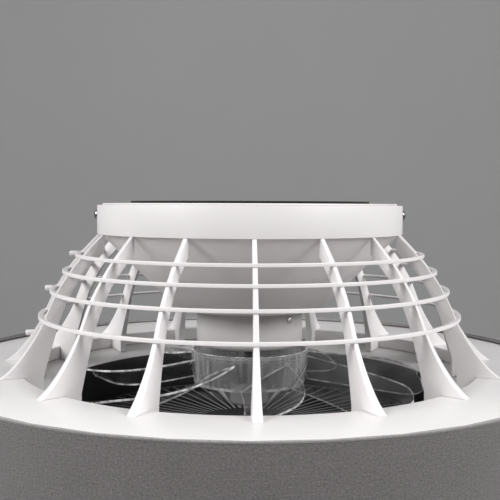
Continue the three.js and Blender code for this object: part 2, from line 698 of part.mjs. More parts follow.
// One blade lofted along its span. Each station is a thin cambered section set at its own pitch,
// and the stations lie closer together towards the rounded tip.
function blade() {
  const [spanSteps, chordSteps] = [7, 4];
  const rootRadius = hubRadius + seat;
  const section = 2 * (chordSteps + 1);
  const corners = [];
  for (let step = 0; step <= spanSteps; step += 1) {
    const share = Math.sin(step / spanSteps * Math.PI / 2);
    const radius = rootRadius + (bladeTipRadius - rootRadius) * share;
    const chord = bladeRootChord + (bladeTipChord - bladeRootChord) * share;
    const rounding = Math.max(0, share - 1 + bladeRoundShare) / bladeRoundShare;
    const tipRound = 1 - (1 - bladeTipShare) * (1 - Math.sqrt(1 - Math.min(1, rounding ** 2)));
    const middleZ = hubTopZ - bladeDrop - bladeTipSink * Math.sin(share * Math.PI / 2);
    const pitch = THREE.MathUtils.degToRad(bladeRootPitch + (bladeTipPitch - bladeRootPitch) * share);
    const lead = THREE.MathUtils.degToRad(bladeSweep) * share * share;
    for (let k = 0; k < section; k += 1) {
      const upper = k <= chordSteps;
      const along = (upper ? k : section - 1 - k) / chordSteps - 0.5;
      const arch = bladeCamber * chord * (1 - 4 * along * along);
      const half = bladeThickness / 2 * (1 - bladeEdgeTaper * (2 * along) ** 4);
      const offset = arch + (upper ? half : -half);
      const across = along * chord * tipRound;
      const run = across * Math.cos(pitch) - offset * Math.sin(pitch);
      const rise = across * Math.sin(pitch) + offset * Math.cos(pitch);
      const angle = lead + run / radius;
      corners.push(radius * Math.cos(angle), radius * Math.sin(angle), middleZ + rise);
    }
  }
  const faces = [];
  for (let step = 0; step < spanSteps; step += 1) {
    for (let k = 0; k < section; k += 1) {
      const [a, b] = [step * section + k, step * section + (k + 1) % section];
      faces.push(a, b, a + section, b, b + section, a + section);
    }
  }
  const tip = spanSteps * section;
  for (let k = 0; k < chordSteps; k += 1) {
    const [a, b, c, d] = [k, k + 1, section - 2 - k, section - 1 - k];
    faces.push(a, c, b, a, d, c);
    faces.push(tip + a, tip + b, tip + c, tip + a, tip + c, tip + d);
  }
  const geometry = new THREE.BufferGeometry();
  geometry.setAttribute('position', new THREE.Float32BufferAttribute(corners, 3));
  geometry.setIndex(faces);
  return toSolid(geometry);
}

function bladeNut() {
  const bore = nutTopZ - nutThreadDepth;
  return turned([
    [0, nutBottomZ], [nutRadius - nutEdge, nutBottomZ],
    ...arc(nutRadius - nutEdge, nutBottomZ + nutEdge, nutEdge, -90, 0, 2),
    [nutRadius, nutTopZ], [shaftBoreRadius, nutTopZ], [shaftBoreRadius, bore], [0, bore],
  ], smallSegments);
}

addPiece(rotor, 'blade_hub', bladeHub(), 'clear');
for (let k = 0; k < bladeCount; k += 1) {
  const piece = addPiece(rotor, `blade_${k + 1}`, blade(), 'clear');
  piece.rotation.z = THREE.MathUtils.degToRad(bladeFirstAzimuth - 90 + k * 360 / bladeCount);
}
addPiece(rotor, 'blade_nut', bladeNut(), 'greyPlastic');

// ---- drum ----------------------------------------------------------------------------------------

const shadeInnerRadius = shadeRadius - shadeThickness;
const plateRadius = shadeInnerRadius - seat;
const ductRadius = throatRadius + throatWall;
const funnelEndRadius = ductRadius + seat;
const trayTopZ = shadeBottomZ + trayDepth;

function topPlate() {
  return turned([
    [openingRadius, topPlateZ], [openingRadius, wallBottomZ], [openingRadius + plateThickness, wallBottomZ],
    [openingRadius + plateThickness, topPlateZ - plateThickness], [plateRadius, topPlateZ - plateThickness],
    [plateRadius, topPlateZ],
  ], shadeSegments);
}

// The ledge that leads the air from the opening into the throat; it hangs under the plate's wall.
function inletFunnel() {
  const outer = openingRadius + plateThickness;
  const outerZ = wallBottomZ - seat;
  return turned([
    [outer, outerZ], [outer, outerZ - plateThickness],
    [funnelEndRadius, funnelBottomZ - plateThickness], [funnelEndRadius, funnelBottomZ],
    [openingRadius, outerZ],
  ], shadeSegments);
}

function throatDuct() {
  return ring(throatRadius, ductRadius, shadeBottomZ, funnelBottomZ, shadeSegments);
}

function fabricShade() {
  return ring(shadeInnerRadius, shadeRadius, shadeBottomZ, shadeTopZ, shadeSegments);
}

function shadeHoop(bottomZ) {
  const outer = shadeInnerRadius - seat;
  const middle = outer - hoopSection / 2;
  const middleZ = bottomZ + hoopSection / 2;
  return turned([
    [middle, bottomZ], [outer, middleZ], [middle, bottomZ + hoopSection], [outer - hoopSection, middleZ],
  ], shadeSegments);
}

addPiece(housing, 'top_plate', topPlate(), 'white');
addPiece(housing, 'inlet_funnel', inletFunnel(), 'white');
addPiece(housing, 'throat_duct', throatDuct(), 'blackPlastic');
addPiece(housing, 'fabric_shade', fabricShade(), 'fabric');
addPiece(housing, 'shade_hoop_top', shadeHoop(topPlateZ + seat), 'fabric');
addPiece(housing, 'shade_hoop_bottom', shadeHoop(shadeBottomZ), 'fabric');

// ---- light ring and lower grille -------------------------------------------------------------------

const trayInnerRadius = ductRadius + seat;
const trayRadius = shadeInnerRadius - hoopSection - 2 * seat;
const trayFloorZ = trayTopZ - trayThickness;
const diffuserInnerRadius = trayInnerRadius;
const diffuserRadius = trayRadius - trayThickness - trimWidth;

function ledTray() {
  const wallBottom = shadeBottomZ + trimHeight + seat;
  return turned([
    [trayInnerRadius, trayTopZ], [trayInnerRadius, trayFloorZ], [trayRadius - trayThickness, trayFloorZ],
    [trayRadius - trayThickness, wallBottom], [trayRadius, wallBottom], [trayRadius, trayTopZ],
  ], shadeSegments);
}

function ledBoard() {
  const middle = (trayInnerRadius + trayRadius) / 2;
  return ring(middle - boardWidth / 2, middle + boardWidth / 2,
    trayFloorZ - seat - boardThickness, trayFloorZ - seat, boardSegments);
}

// A shallow annular dish whose face bows down a little.
function diffuser() {
  const faceZ = shadeBottomZ + diffuserCrown;
  const middle = (diffuserInnerRadius + diffuserRadius) / 2;
  return turned([
    [diffuserInnerRadius, faceZ], [middle, shadeBottomZ], [diffuserRadius, faceZ],
    [diffuserRadius, faceZ + diffuserThickness], [middle, shadeBottomZ + diffuserThickness],
    [diffuserInnerRadius, faceZ + diffuserThickness],
  ], shadeSegments);
}

function bottomTrim() {
  const inner = diffuserRadius + seat;
  return turned([
    [inner, shadeBottomZ + trimChamfer], [inner + trimChamfer, shadeBottomZ], [trayRadius, shadeBottomZ],
    [trayRadius, shadeBottomZ + trimHeight], [inner, shadeBottomZ + trimHeight],
  ], shadeSegments);
}

// A flat disc with a window between each two slats.
function bottomGrille() {
  const rimRadius = throatRadius - seat;
  const windowRadius = rimRadius - grilleRimWidth;
  const pitch = 2 * Math.PI / grilleSlatCount;
  const at = (radius, angle) => new THREE.Vector2(radius * Math.cos(angle), radius * Math.sin(angle));
  const besideSlat = (slat, side, radius) => {
    const half = Math.asin(grilleSlatThickness / 2 / radius);
    return at(radius, slat * pitch + side * half);
  };
  const disc = new THREE.Shape();
  disc.setFromPoints(Array.from({ length: shadeSegments }, (unused, k) => (
    at(rimRadius, k * 2 * Math.PI / shadeSegments)
  )));
  for (let k = 0; k < grilleSlatCount; k += 1) {
    disc.holes.push(new THREE.Path([
      besideSlat(k, 1, grilleHubRadius), besideSlat(k, 1, windowRadius),
      besideSlat(k + 1, -1, windowRadius), besideSlat(k + 1, -1, grilleHubRadius),
    ]));
  }
  const body = new THREE.ExtrudeGeometry(disc, { depth: grilleHeight, bevelEnabled: false });
  return toSolid(body).translate(0, 0, shadeBottomZ + grilleRecess);
}

addPiece(housing, 'led_tray', ledTray(), 'whiteMetal');
addPiece(housing, 'led_board', ledBoard(), 'board');
addPiece(housing, 'diffuser', diffuser(), 'opal');
addPiece(housing, 'bottom_trim', bottomTrim(), 'white');
addPiece(housing, 'bottom_grille', bottomGrille(), 'blackPlastic');

export default fan;
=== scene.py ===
# %% [markdown]
# # Caged ceiling fan with a fabric drum
# The fan hangs from the ceiling by a plate that hides inside a white moulded cage. A painted cone and a
# motor cup hang inside the cage, over a clear rotor. Below is a drum of grey linen with a white top
# plate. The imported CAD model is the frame: the main sizes are read from it, and each visible piece is
# made again with smooth curves, small edge radii and a detailed finish, then set to ride on the body of
# its CAD node.

import math

import bmesh
import bpy
from mathutils import Matrix, Vector


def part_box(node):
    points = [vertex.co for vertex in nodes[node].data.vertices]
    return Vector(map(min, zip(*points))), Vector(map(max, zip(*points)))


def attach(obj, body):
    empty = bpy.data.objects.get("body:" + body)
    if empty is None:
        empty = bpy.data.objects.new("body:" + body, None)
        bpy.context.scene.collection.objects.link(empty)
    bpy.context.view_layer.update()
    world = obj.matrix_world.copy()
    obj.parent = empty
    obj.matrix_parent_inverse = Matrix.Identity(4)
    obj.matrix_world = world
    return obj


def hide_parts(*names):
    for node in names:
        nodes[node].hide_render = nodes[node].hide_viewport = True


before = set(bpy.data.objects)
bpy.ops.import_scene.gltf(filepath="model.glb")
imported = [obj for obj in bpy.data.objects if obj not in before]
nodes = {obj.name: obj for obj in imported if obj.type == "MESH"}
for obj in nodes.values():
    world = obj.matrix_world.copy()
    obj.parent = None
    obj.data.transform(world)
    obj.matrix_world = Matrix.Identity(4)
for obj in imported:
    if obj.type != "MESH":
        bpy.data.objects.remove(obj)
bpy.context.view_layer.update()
MM = 0.001

# %% [markdown]
# ## Camera
# The photograph was solved as a pinhole view: the circles of the cage, the plate and the drum all agree
# on one camera, level with the ceiling face and close in front, tipped down by about three degrees. Its
# roll is a fifth of a degree. A rotation about the camera's own Z axis gives the roll after the tilt.

# %% Camera
CAMERA_PLACE = Vector((0.0002, -0.6822, -0.0033))
CAMERA_TILT = 3.0748
CAMERA_ROLL = 0.2151
CAMERA_LENS = 59.67
SENSOR_WIDTH = 36

camera_data = bpy.data.cameras.new("camera")
camera_data.lens = CAMERA_LENS
camera_data.sensor_width = SENSOR_WIDTH
camera = bpy.data.objects.new("camera", camera_data)
camera.matrix_world = (
    Matrix.Translation(CAMERA_PLACE)
    @ Matrix.Rotation(math.radians(90 - CAMERA_TILT), 4, "X")
    @ Matrix.Rotation(math.radians(CAMERA_ROLL), 4, "Z")
)
bpy.context.scene.collection.objects.link(camera)
bpy.context.scene.camera = camera
print("camera:", round(camera_data.lens, 2), "mm lens")

# %% [markdown]
# ## Shader maths
# Procedural finishes are sums of noises, waves and masks. A socket wrapped in a small class lets them be
# written as expressions: every operator adds one Math node and returns its output, wrapped again.

# %% Wrapped sockets and a material builder


class Signal:
    """A shader socket that can be used in arithmetic."""

    def __init__(self, tree, socket):
        self.tree = tree
        self.socket = socket

    def _math(self, operation, first, second):
        node = self.tree.nodes.new("ShaderNodeMath")
        node.operation = operation
        for slot, value in zip(node.inputs, (first, second)):
            connect(self.tree, slot, value)
        return Signal(self.tree, node.outputs[0])

    def __add__(self, other):
        return self._math("ADD", self, other)

    def __radd__(self, other):
        return self._math("ADD", other, self)

    def __sub__(self, other):
        return self._math("SUBTRACT", self, other)

    def __rsub__(self, other):
        return self._math("SUBTRACT", other, self)

    def __mul__(self, other):
        return self._math("MULTIPLY", self, other)

    def __rmul__(self, other):
        return self._math("MULTIPLY", other, self)

    def maths(self, operation, other=0.0):
        return self._math(operation, self, other)

    def clipped(self):
        """The signal, held between 0 and 1."""
        return self.maths("MAXIMUM", 0.0).maths("MINIMUM", 1.0)


def connect(tree, slot, value):
    """Links a wrapped socket to an input, or sets the input's own value."""
    if isinstance(value, Signal):
        tree.links.new(value.socket, slot)
    else:
        slot.default_value = value


class Finish:
    """A material under construction: one Principled shader and the nodes that feed it."""

    def __init__(self, name, **constants):
        self.material = bpy.data.materials.new(name)
        self.material.use_nodes = True
        self.tree = self.material.node_tree
        self.shader = self.tree.nodes["Principled BSDF"]
        for label, value in constants.items():
            self.shader.inputs[label.replace("_", " ")].default_value = value

    def node(self, kind, settings=None, output=0, slots=None, **values):
        """Adds a node: its settings come first, then its sockets, by number in slots or by name.

        It returns the wrapped output, or a list of all of them when output is None.
        """
        node = self.tree.nodes.new(kind)
        for key, value in (settings or {}).items():
            setattr(node, key, value)
        for number, value in (slots or {}).items():
            connect(self.tree, node.inputs[number], value)
        for label, value in values.items():
            connect(self.tree, node.inputs[label.replace("_", " ")], value)
        if output is None:
            return [Signal(self.tree, socket) for socket in node.outputs]
        return Signal(self.tree, node.outputs[output])

    def place(self, scale=(1, 1, 1)):
        """Object coordinates in metres, stretched by scale."""
        where = self.node("ShaderNodeTexCoord", output="Object")
        return self.node("ShaderNodeMapping", Vector=where, Scale=scale)

    def surface(self, scale=(1, 1, 1)):
        """The piece's own UV map, also in metres."""
        where = self.node("ShaderNodeUVMap", {"uv_map": "wrap"})
        return self.node("ShaderNodeMapping", Vector=where, Scale=scale)

    def noise(self, where, scale, detail=2.0, roughness=0.5):
        """Noise from 0 to 1 at the place where, finer with a larger scale."""
        return self.node(
            "ShaderNodeTexNoise", Vector=where, Scale=scale, Detail=detail, Roughness=roughness
        )

    def blend(self, factor, first, second):
        """Mixes two colours, which are sockets 6 and 7 of a Mix node, and output 2."""
        return self.node("ShaderNodeMix", {"data_type": "RGBA"}, 2, {0: factor, 6: first, 7: second})

    def feed(self, label, value):
        connect(self.tree, self.shader.inputs[label], value)

    def relief(self, height, depth, strength=1.0):
        """Bumps the surface by height, a signal from 0 to 1, over depth in metres."""
        bump = self.node("ShaderNodeBump", Height=height, Distance=depth, Strength=strength)
        self.feed("Normal", bump)


def grey(value, warmth=0.0):
    """A near grey in linear light; warmth raises red by that share, and blue by a tenth of it."""
    return (value * (1 + warmth), value, value * (1 + warmth / 10), 1)


print("shader helpers ready")

# %% [markdown]
# ## White plastic and white paint
# The cage and the plate are satin ABS mouldings. The ledge in the opening is made greyer than the plate:
# painted shade for the shadow in the recess of the opening. Under a lens such a surface has a fine spark
# grain from the mould, a slow cloudiness in its gloss and a hardly visible one in its colour. The paint on
# the cone and cup is a powder coat: rounder and coarser ripples, called orange peel, over sheet metal.

# %% White finishes


def moulded_plastic(name, value, warmth, roughness, grain, coat=0.0):
    """Satin plastic of a grey value; grain is the depth of its relief."""
    finish = Finish(name, Coat_Weight=coat, IOR=1.5)
    where = finish.place()
    cloud = finish.noise(where, scale=22, detail=3)
    fine = finish.noise(where, scale=2600, detail=2, roughness=0.6)
    finish.feed("Base Color", finish.blend(cloud, grey(value * 0.975, warmth), grey(value * 1.02, warmth)))
    finish.feed("Roughness", cloud * 0.12 + fine * 0.06 + (roughness - 0.09))
    finish.relief(fine + cloud * 0.3, grain)
    return finish.material


def powder_coat(name, value, warmth, roughness):
    """Powder paint with orange peel, in a grey value."""
    finish = Finish(name, IOR=1.5, Coat_Roughness=0.25, Coat_Weight=0.15)
    where = finish.place()
    peel = finish.noise(where, scale=900, detail=1, roughness=0.4)
    speck = finish.noise(where, scale=4200, detail=2)
    cloud = finish.noise(where, scale=16, detail=2)
    finish.feed("Base Color", finish.blend(cloud, grey(value * 0.97, warmth), grey(value * 1.02, warmth)))
    finish.feed("Roughness", speck * 0.08 + cloud * 0.08 + (roughness - 0.08))
    finish.relief(peel + speck * 0.25, 0.06 * MM)
    return finish.material


cage_white = moulded_plastic("cage_white", value=0.82, warmth=0.035, roughness=0.38, grain=0.02 * MM)
plate_white = moulded_plastic(
    "plate_white", value=0.81, warmth=0.03, roughness=0.38, grain=0.01 * MM, coat=0.1
)
# The ledge is made greyer than the plate: painted shade for its recess in the opening.
ledge_painted_shade = moulded_plastic("ledge_painted_shade", value=0.58, warmth=0.03, roughness=0.42, grain=0.02 * MM)
box_white = moulded_plastic("box_white", value=0.74, warmth=0.01, roughness=0.5, grain=0.04 * MM)
cone_paint = powder_coat("cone_paint", value=0.82, warmth=0.05, roughness=0.42)
cup_paint = powder_coat("cup_paint", value=0.61, warmth=0.05, roughness=0.36)
print("white finishes: 6")

# %% [markdown]
# ## Black, clear and grey plastic
# The throat and the lower grille are satin black. The upper faces of the grille's slats get a lighter copy
# of that black, painted light from above. The rotor is clear styrene. Seen face on it is a faint grey
# veil, seen along its face it closes up, and its cut edges gather light and shine. So the alpha of the veil
# grows with the Layer Weight node's facing term, and the edges get a lighter, more opaque copy of the clear
# finish, which paints that shine. The hub is hazier, with upright flow lines from the mould; the lighter
# streaks among them also paint glints. The nut is a glossy grey.

# %% Plastic finishes


def clear_plastic(name, value, veil, closing, rim, streak, ripple):
    """Thin clear plastic: veil is its alpha seen face on, veil plus closing that of its silhouette.

    A smaller rim keeps the closing nearer to the silhouette. Streak holds the scale of the flow lines along
    each axis, and ripple is how strongly they show in the relief. The flow lines also shift the colour, and
    their lighter streaks paint glints.
    """
    finish = Finish(name, IOR=1.5)
    facing = finish.node("ShaderNodeLayerWeight", output="Facing", Blend=rim)
    flow = finish.noise(finish.place(streak), scale=1, detail=3)
    haze = finish.noise(finish.place(), scale=420, detail=3)
    # The flow lines are real mould marks; their lighter streaks in the colour are also painted glints.
    flow_and_glint = (flow * 3.0 - 1.0).clipped()
    finish.feed("Base Color", finish.blend(flow_and_glint, grey(value * 0.6), grey(value * 1.4)))
    finish.feed("Alpha", (facing * closing + veil) * (flow_and_glint * 0.5 + 0.75))
    finish.feed("Roughness", haze * 0.06 + 0.12)
    finish.relief(flow, 0.3 * MM, strength=ripple)
    return finish.material


black_satin = moulded_plastic("black_satin", value=0.022, warmth=0.0, roughness=0.36, grain=0.03 * MM)
grille_black = moulded_plastic("grille_black", value=0.016, warmth=0.0, roughness=0.34, grain=0.02 * MM)
# The slats' upper faces get this lighter black: painted light from above.
grille_painted_top_light = moulded_plastic("grille_painted_top_light", value=0.20, warmth=0.0, roughness=0.40, grain=0.02 * MM)
clear_blade = clear_plastic(
    "clear_blade", value=0.10, veil=0.11, closing=0.30, rim=0.3, streak=(30, 30, 30), ripple=0.3
)
# The edge finish is a lighter, more opaque copy of the clear one: it paints the shine of cut edges and
# rims.
clear_edge_shine = clear_plastic(
    "clear_edge_shine", value=0.80, veil=0.62, closing=0.3, rim=0.3, streak=(160, 160, 160), ripple=0.3
)
clear_hub = clear_plastic(
    "clear_hub", value=0.46, veil=0.22, closing=0.78, rim=0.2, streak=(330, 330, 10), ripple=1.0
)
nut_grey = moulded_plastic("nut_grey", value=0.42, warmth=0.0, roughness=0.28, grain=0.01 * MM, coat=0.3)
opal_white = moulded_plastic(
    "opal_white", value=0.84, warmth=0.004, roughness=0.34, grain=0.01 * MM, coat=0.25
)
print("plastic finishes: 8")

# %% [markdown]
# ## Metals and the small inner parts
# Turned steel has rings about its axis, so its grain is a noise that is stretched along the circle: it
# reads only the radius and the height. The coils show wound wire. The foam has fine cells, and the LED
# board a white solder mask.

# %% Metal, foam and board finishes
WIRE_PITCH = 0.6 * MM


def round_coordinates(finish):
    """Radius and height of the point, for patterns that run round the fan's axis."""
    where = finish.node("ShaderNodeTexCoord", output="Object")
    x, y, z = finish.node("ShaderNodeSeparateXYZ", output=None, Vector=where)
    return (x * x + y * y).maths("SQRT"), z


def turned_metal(name, value, roughness, groove):
    """Lathe-turned metal; a higher groove value gives finer rings."""
    finish = Finish(name, Metallic=1.0)
    radius, height = round_coordinates(finish)
    where = finish.node("ShaderNodeCombineXYZ", X=radius, Y=height)
    lines = finish.noise(where, scale=groove, detail=3)
    smear = finish.noise(finish.place(), scale=60, detail=2)
    finish.feed("Base Color", finish.blend(smear, grey(value * 0.9, 0.01), grey(value * 1.08, 0.01)))
    finish.feed("Roughness", lines * 0.12 + smear * 0.1 + (roughness - 0.11))
    finish.relief(lines, 0.02 * MM)
    return finish.material


def wound_wire():
    """Copper wire, laid turn by turn over the radius."""
    finish = Finish("wound_wire", Metallic=1.0)
    radius = round_coordinates(finish)[0]
    turns = (radius * (2 * math.pi / WIRE_PITCH)).maths("SINE") * 0.5 + 0.5
    cloud = finish.noise(finish.place(), scale=300, detail=2)
    finish.feed("Base Color", finish.blend(turns, (0.20, 0.07, 0.025, 1), (0.62, 0.27, 0.11, 1)))
    finish.feed("Roughness", cloud * 0.15 + 0.25)
    finish.relief(turns, 0.2 * MM)
    return finish.material


def foam():
    """Black foam with fine open cells."""
    finish = Finish("black_foam")
    cells = finish.node("ShaderNodeTexVoronoi", Vector=finish.place(), Scale=1500)
    cloud = finish.noise(finish.place(), scale=80, detail=2)
    finish.feed("Base Color", finish.blend(cloud, grey(0.006), grey(0.016)))
    finish.feed("Roughness", cells * 0.2 + 0.8)
    finish.relief(cells, 0.3 * MM)
    return finish.material


def circuit_board():
    """White solder mask over the weave of the board."""
    finish = Finish("circuit_board")
    where = finish.place()
    weave = finish.noise(where, scale=1800, detail=1)
    cloud = finish.noise(where, scale=30, detail=2)
    finish.feed("Base Color", finish.blend(cloud, grey(0.68, 0.01), grey(0.76, 0.01)))
    finish.feed("Roughness", weave * 0.15 + 0.35)
    finish.relief(weave, 0.03 * MM)
    return finish.material


motor_steel = turned_metal("motor_steel", value=0.42, roughness=0.34, groove=2400)
bright_screw = turned_metal("bright_screw", value=0.36, roughness=0.20, groove=1500)
chrome_cap = turned_metal("chrome_cap", value=0.86, roughness=0.26, groove=1500)
dark_magnet = turned_metal("dark_magnet", value=0.08, roughness=0.45, groove=1800)
copper_wire = wound_wire()
black_foam = foam()
led_board_white = circuit_board()
print("metal, foam and board finishes: 7")

# %% [markdown]
# ## Linen
# The drum is linen laminated on stiff film and wrapped once round. Warp and weft are sine waves over the
# piece's own UV map, which holds metres along and across the cloth, so the weave has its true pitch of
# about half a millimetre. Real linen has slubs, thicker stretches of single threads, which come from
# noise stretched along each thread direction. A finer noise gives the melange of lighter and darker
# fibres.

# %% Linen finish
THREAD_PITCH = 0.56 * MM
LINEN_RELIEF = 0.18 * MM


def linen(name, low, high):
    """Woven linen, from the darkest to the lightest of its fibres."""
    finish = Finish(name, Sheen_Weight=0.4, Sheen_Roughness=0.45, IOR=1.4)
    along, up = finish.node("ShaderNodeSeparateXYZ", output=None, Vector=finish.surface())[:2]
    wave = 2 * math.pi / THREAD_PITCH
    warp = (along * wave).maths("SINE")
    weft = (up * wave).maths("SINE")
    over = warp * weft * 0.5 + 0.5
    slub_along = finish.noise(finish.surface((60, 1500, 1)), scale=1, detail=2)
    slub_up = finish.noise(finish.surface((1500, 60, 1)), scale=1, detail=2)
    cloud = finish.noise(finish.surface((30, 30, 1)), scale=1, detail=3)
    melange = finish.noise(finish.surface((700, 900, 1)), scale=1, detail=3, roughness=0.7)
    tone = over * 0.25 + slub_along * 0.3 + slub_up * 0.25 + melange * 1.7 + cloud * 0.15 - 0.85
    finish.feed("Base Color", finish.blend(tone.clipped(), low, high))
    finish.feed("Roughness", cloud * 0.1 + 0.82)
    finish.relief(over * 0.6 + slub_along * 0.5 + slub_up * 0.4, LINEN_RELIEF)
    return finish.material


drum_linen = linen("drum_linen", grey(0.085, 0.09), grey(0.27, 0.08))
hem_linen = linen("hem_linen", grey(0.20, 0.07), grey(0.40, 0.06))
print("linen, thread pitch", THREAD_PITCH, "m")

# %% [markdown]
# ## Modelling helpers
# Almost everything is turned on one axis. A profile of radius and height is drawn as a closed wire and
# spun round Z with `bmesh.ops.spin`, which joins its ends when `use_merge` is set. The sharp rims are
# then bevelled by a fraction of a millimetre, because a real edge always catches a thin line of light.
# Azimuth 0 faces the camera, so a piece that is made along X is turned by its azimuth less 90 degrees.

# %% Turning, softening and placing
ROUND_STEPS = 160


def shape_size(name):
    """Inner radius, outer radius, lowest and highest point of a CAD node that runs round the axis."""
    corners = [vertex.co for vertex in nodes[name].data.vertices]
    radii = [math.hypot(corner.x, corner.y) for corner in corners]
    return min(radii), max(radii), min(c.z for c in corners), max(c.z for c in corners)


def turn(profile, steps=ROUND_STEPS, closed=True):
    """Spins a profile of (radius, height) pairs round the axis; a closed one gives a solid."""
    bm = bmesh.new()
    wire = [bm.verts.new((radius, 0, height)) for radius, height in profile]
    ends = wire[1:] + wire[:1] if closed else wire[1:]
    edges = [bm.edges.new(pair) for pair in zip(wire, ends)]
    bmesh.ops.spin(
        bm, geom=wire + edges, cent=(0, 0, 0), axis=(0, 0, 1), angle=2 * math.pi, steps=steps,
        use_merge=True,
    )
    bmesh.ops.remove_doubles(bm, verts=bm.verts, dist=1e-6)
    bmesh.ops.dissolve_degenerate(bm, edges=bm.edges, dist=1e-7)
    bmesh.ops.recalc_face_normals(bm, faces=bm.faces)
    return bm


def soften(bm, width, segments=2, angle=28):
    """Bevels every edge whose faces meet at more than angle degrees."""
    limit = math.radians(angle)
    sharp = [edge for edge in bm.edges if len(edge.link_faces) == 2 and edge.calc_face_angle() > limit]
    bmesh.ops.bevel(
        bm, geom=sharp, offset=width, segments=segments, profile=0.5, affect="EDGES",
        clamp_overlap=True, material=-1,
    )
    return bm


def rotate(bm, degrees, axis="Z", verts=None):
    """Turns a bmesh, or some of its vertices, about an axis through the origin."""
    matrix = Matrix.Rotation(math.radians(degrees), 3, axis)
    bmesh.ops.rotate(bm, verts=verts or bm.verts, cent=(0, 0, 0), matrix=matrix)


def add_bar(bm, sizes, place=(0, 0, 0), degrees=0):
    """Adds a bar of three sizes at place and turns it round the axis."""
    bar = bmesh.ops.create_cube(bm, size=1)["verts"]
    bmesh.ops.scale(bm, verts=bar, vec=sizes)
    bmesh.ops.translate(bm, verts=bar, vec=place)
    rotate(bm, degrees, verts=bar)
    return bar


def make_object(name, bm, *materials):
    """Turns a bmesh into a smooth object with the given materials."""
    mesh = bpy.data.meshes.new(name)
    bm.to_mesh(mesh)
    bm.free()
    for face in mesh.polygons:
        face.use_smooth = True
    for material in materials:
        mesh.materials.append(material)
    made = bpy.data.objects.new(name, mesh)
    bpy.context.scene.collection.objects.link(made)
    return made


def finish_piece(name, bm, material, body, replaced=(), sharp=35, rim=None):
    """Turns a bmesh into a shown object that rides on a body; faces of material 1 get the rim's finish."""
    # In every use the rim's finish is lighter than the main one: a painted highlight.
    piece = make_object(name, bm, *filter(None, (material, rim)))
    piece.data.set_sharp_from_angle(angle=math.radians(sharp))
    if replaced:
        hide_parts(*replaced)
    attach(piece, body)
    return piece


def arc(centre_radius, centre_height, radius, start, end, steps):
    """Points on an arc from start to end degrees, as (radius, height) pairs."""
    angles = [math.radians(start + (end - start) * step / steps) for step in range(steps + 1)]
    return [(centre_radius + radius * math.cos(a), centre_height + radius * math.sin(a)) for a in angles]


print("helpers ready,", ROUND_STEPS, "steps to the round")

# %% [markdown]
# ## Collar and hoops
# The collar is a plain band with a soft rim. Each hoop has a flat front and tapers a little inwards, with
# small round edges.

# %% Collar and hoops
COLLAR_EDGE = 0.5 * MM
COLLAR_WALL = 2.2 * MM
FINE_STEPS = 192
collar_radius, collar_low, collar_high = shape_size("collar")[1:]
collar_inner = collar_radius - COLLAR_WALL
collar_band = turn([
    (collar_inner, collar_low), (collar_radius, collar_low), (collar_radius, collar_high),
    (collar_inner, collar_high),
])
soften(collar_band, COLLAR_EDGE, 3)
finish_piece("collar_band", collar_band, cage_white, "housing", ["collar"])

HOOP_DEPTH = 4.4 * MM
HOOP_EDGE = 0.45 * MM
HOOP_INNER_SHARE = 0.7
hoop_low, hoop_high = shape_size("cage_ring_2")[2:]
outer_half = (hoop_high - hoop_low) / 2
inner_half = outer_half * HOOP_INNER_SHARE
hoops = []
for number in range(1, 5):
    name = f"cage_ring_{number}"
    inner, _, low, high = shape_size(name)
    outer, middle = inner + HOOP_DEPTH, (low + high) / 2
    hoops.append((outer, middle))
    hoop = turn([
        (inner, middle - inner_half), (outer, middle - outer_half),
        (outer, middle + outer_half), (inner, middle + inner_half),
    ], steps=FINE_STEPS)
    soften(hoop, HOOP_EDGE, 3)
    finish_piece(f"hoop_{number}", hoop, cage_white, "housing", [name], sharp=50)
print("collar and hoops:", [(round(r, 4), round(z, 4)) for r, z in hoops])

# %% [markdown]
# ## Ribs
# A rib is a flat blade of plastic whose outline has an S curve outside, where it flares into a foot on
# the plate, and a calmer curve inside. The outline is laid in the radius and height plane, filled as one
# face and extruded to the rib's thickness. The rib is slim beside the hoops and flares sideways where it
# meets the plate.

# %% Ribs
FIRST_AZIMUTH = 1.5
RIB_COUNT = 16
RIB_TOP_THICKNESS = 3.1 * MM
RIB_WAIST_THICKNESS = 3.5 * MM
RIB_FOOT_THICKNESS = 6.6 * MM
RIB_EDGE = 0.55 * MM
HOOP_PROUD = 1.8 * MM
RIB_DEPTH = 11.8 * MM
RIB_TOP_DROP = 12.5 * MM
FOOT_RADIUS = 201 * MM
FOOT_FLARE_POWER = 1.5
LEG_INNER = 168.6 * MM
LEG_GAP = 0.6 * MM
LEG_CHAMFER = 3 * MM
opening_radius, plate_radius, wall_low, plate_top = shape_size("top_plate")
rib_low = shape_size("cage_rib_01")[2]
waist_radius, waist_height = hoops[-1]


def smooth_line(points, steps):
    """A Catmull-Rom curve through (radius, height) points, with steps between two of them."""
    ends = [points[0], *points, points[-1]]
    line = []
    for a, b, c, d in zip(ends, ends[1:], ends[2:], ends[3:]):
        for step in range(steps):
            t = step / steps
            line.append(tuple(
                0.5 * (2 * q + (r - p) * t + (2 * p - 5 * q + 4 * r - s) * t * t
                       + (3 * q - p - 3 * r + s) * t ** 3)
                for p, q, r, s in zip(a, b, c, d)
            ))
    return line + [points[-1]]


def bezier(a, b, c, d, steps):
    """A cubic curve from a to d, pulled towards b and c."""
    line = []
    for step in range(1, steps + 1):
        t = step / steps
        weights = ((1 - t) ** 3, 3 * t * (1 - t) ** 2, 3 * t * t * (1 - t), t ** 3)
        line.append(tuple(sum(w * p[k] for w, p in zip(weights, (a, b, c, d))) for k in (0, 1)))
    return line


